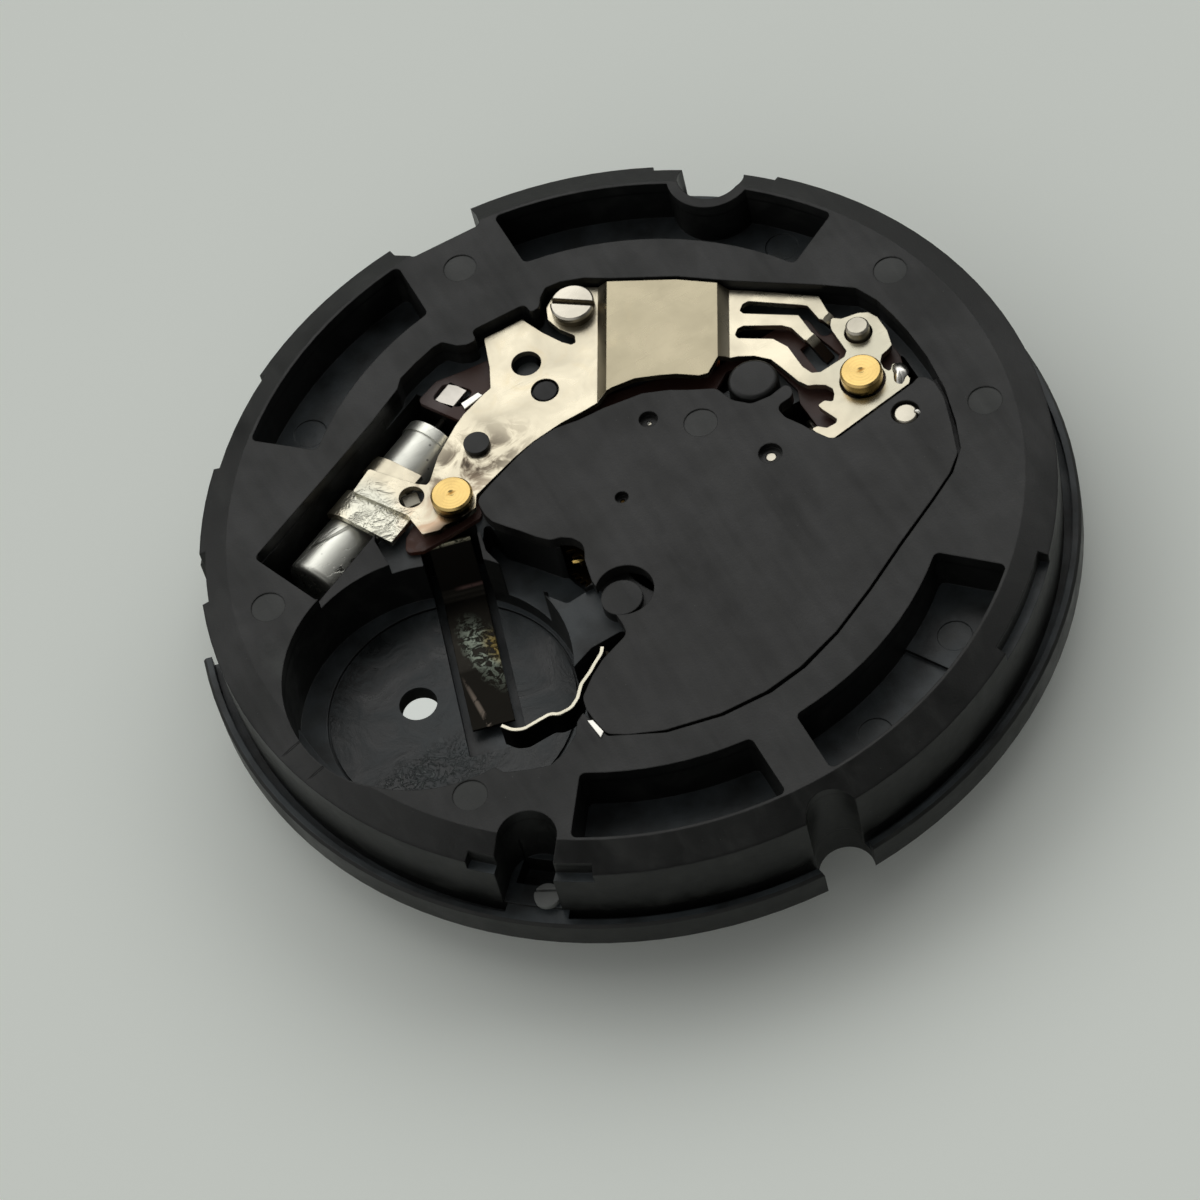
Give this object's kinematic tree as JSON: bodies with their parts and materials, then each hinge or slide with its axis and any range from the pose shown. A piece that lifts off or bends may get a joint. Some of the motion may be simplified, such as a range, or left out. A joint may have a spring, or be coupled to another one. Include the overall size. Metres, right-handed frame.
{
  "type": "quartz watch movement",
  "caption": "Round analogue quartz watch movement without its battery: black plastic body and train bridge, bent steel cover plate, crystal, stepping motor and gear train.",
  "frame": {"origin": "on the hands' axis, in the plane where the dial lies", "axes": "+Z towards the battery side, +X out along the stem's bore"},
  "size_m": [0.026, 0.026, 0.0051],
  "materials": {
    "black_plastic": "satin moulded",
    "bridge_plastic": "satin moulded",
    "insulator": "semi-matte",
    "peg_plastic": "matte",
    "nickel_sheet": "nickel plated, slightly warm",
    "steel": "turned",
    "dark_steel": "stamped",
    "brass": "turned, bright",
    "can_metal": "drawn, slightly worn",
    "board": "brown laminate",
    "chip_resin": "moulded",
    "capacitor_metal": "tinned",
    "copper_wire": "enamelled copper",
    "magnet": "ground",
    "wheel_plastic": "moulded"
  },
  "bodies": {
    "movement": {"main_plate": "black_plastic", "dial_rest_ring": "black_plastic", "train_bridge": "bridge_plastic", "battery_insulator": "insulator", "rim_peg": "peg_plastic", "cover_plate": "nickel_sheet", "cover_screw": "steel", "brass_pins": "brass", "plate_post": "steel", "crystal_can": "can_metal", "crystal_leads": "capacitor_metal", "circuit_board": "board", "ic_block": "chip_resin", "chip_capacitor": "capacitor_metal", "coil_core": "dark_steel", "coil_winding": "copper_wire", "stator": "dark_steel", "minute_wheel_stud": "steel", "motion_cover": "nickel_sheet", "motion_cover_screws": "steel", "yoke_stud": "steel"},
    "seconds": {"seconds_wheel": "brass"},
    "rotor": {"rotor_magnet": "magnet", "rotor_arbor": "steel"},
    "fifth": {"fifth_wheel": "brass"},
    "third": {"third_wheel": "brass"},
    "centre": {"centre_wheel": "brass", "cannon_pinion": "steel"},
    "minute": {"minute_wheel": "wheel_plastic"},
    "hour": {"hour_wheel": "brass"},
    "setting": {"setting_wheel": "steel"},
    "lever_pin": {"setting_lever_pin": "steel"},
    "lever": {"setting_lever": "dark_steel"},
    "yoke": {"yoke": "dark_steel"},
    "clutch": {"clutch_wheel": "steel"},
    "minus_leaf": {"minus_contact": "nickel_sheet"},
    "plus_strip": {"plus_contact": "nickel_sheet"}
  },
  "joints": [
    {"name": "seconds_spin", "type": "hinge", "parent": "movement", "child": "seconds", "pos_m": [0, 0, 0.0022], "axis": [0, 0, 1], "continuous": true},
    {"name": "rotor_spin", "type": "hinge", "parent": "movement", "child": "rotor", "pos_m": [0.00192, 0.00207, 0.0016], "axis": [0, 0, 1], "continuous": true},
    {"name": "fifth_spin", "type": "hinge", "parent": "movement", "child": "fifth", "pos_m": [0.0024, 0.00002, 0.0018], "axis": [0, 0, 1], "continuous": true},
    {"name": "third_spin", "type": "hinge", "parent": "movement", "child": "third", "pos_m": [0.00124, -0.00198, 0.00145], "axis": [0, 0, 1], "continuous": true},
    {"name": "centre_spin", "type": "hinge", "parent": "movement", "child": "centre", "pos_m": [0, 0, 0.0011], "axis": [0, 0, 1], "continuous": true},
    {"name": "minute_spin", "type": "hinge", "parent": "movement", "child": "minute", "pos_m": [0.002, 0.00133, 0.00042], "axis": [0, 0, 1], "continuous": true},
    {"name": "hour_spin", "type": "hinge", "parent": "movement", "child": "hour", "pos_m": [0, 0, 0.00017], "axis": [0, 0, 1], "continuous": true},
    {"name": "setting_spin", "type": "hinge", "parent": "movement", "child": "setting", "pos_m": [0.00434, -0.001, 0.00105], "axis": [0, 0, 1], "continuous": true},
    {"name": "pin_press", "type": "slide", "parent": "movement", "child": "lever_pin", "axis": [0, 0, -1], "range_m": [0, 0.00025], "stiffness_N_per_m": 400},
    {"name": "lever_swing", "type": "hinge", "parent": "lever_pin", "child": "lever", "pos_m": [0.0083, -0.00188, 0.00205], "axis": [0, 0, -1], "range_deg": [0, 12]},
    {"name": "yoke_swing", "type": "hinge", "parent": "movement", "child": "yoke", "pos_m": [0.0058, -0.0027, 0.0016], "axis": [0, 0, 1], "range_deg": [0, 10.4]},
    {"name": "clutch_slide", "type": "slide", "parent": "movement", "child": "clutch", "axis": [-1, 0, 0], "range_m": [0, 0.0004]},
    {"name": "minus_flex", "type": "hinge", "parent": "movement", "child": "minus_leaf", "pos_m": [-0.00498, 0.0014, 0.00062], "axis": [0.9646, -0.2639, 0], "range_deg": [0, 2], "stiffness_Nm_per_rad": 0.02},
    {"name": "plus_flex", "type": "hinge", "parent": "movement", "child": "plus_strip", "pos_m": [-0.00276, -0.0041, 0.00235], "axis": [0, 0, 1], "range_deg": [0, 5], "stiffness_Nm_per_rad": 0.02}
  ],
  "couplings": [
    {"joint": "rotor_spin", "follows": "seconds_spin", "ratio": 30},
    {"joint": "fifth_spin", "follows": "seconds_spin", "ratio": -5},
    {"joint": "third_spin", "follows": "seconds_spin", "ratio": -0.13333},
    {"joint": "centre_spin", "follows": "seconds_spin", "ratio": 0.016667},
    {"joint": "minute_spin", "follows": "seconds_spin", "ratio": -0.0055556},
    {"joint": "hour_spin", "follows": "seconds_spin", "ratio": 0.0013889},
    {"joint": "setting_spin", "follows": "seconds_spin", "ratio": 0.0066667},
    {"joint": "lever_swing", "follows": "clutch_slide", "rad_per_m": 523.6},
    {"joint": "yoke_swing", "follows": "clutch_slide", "rad_per_m": 453.75}
  ]
}
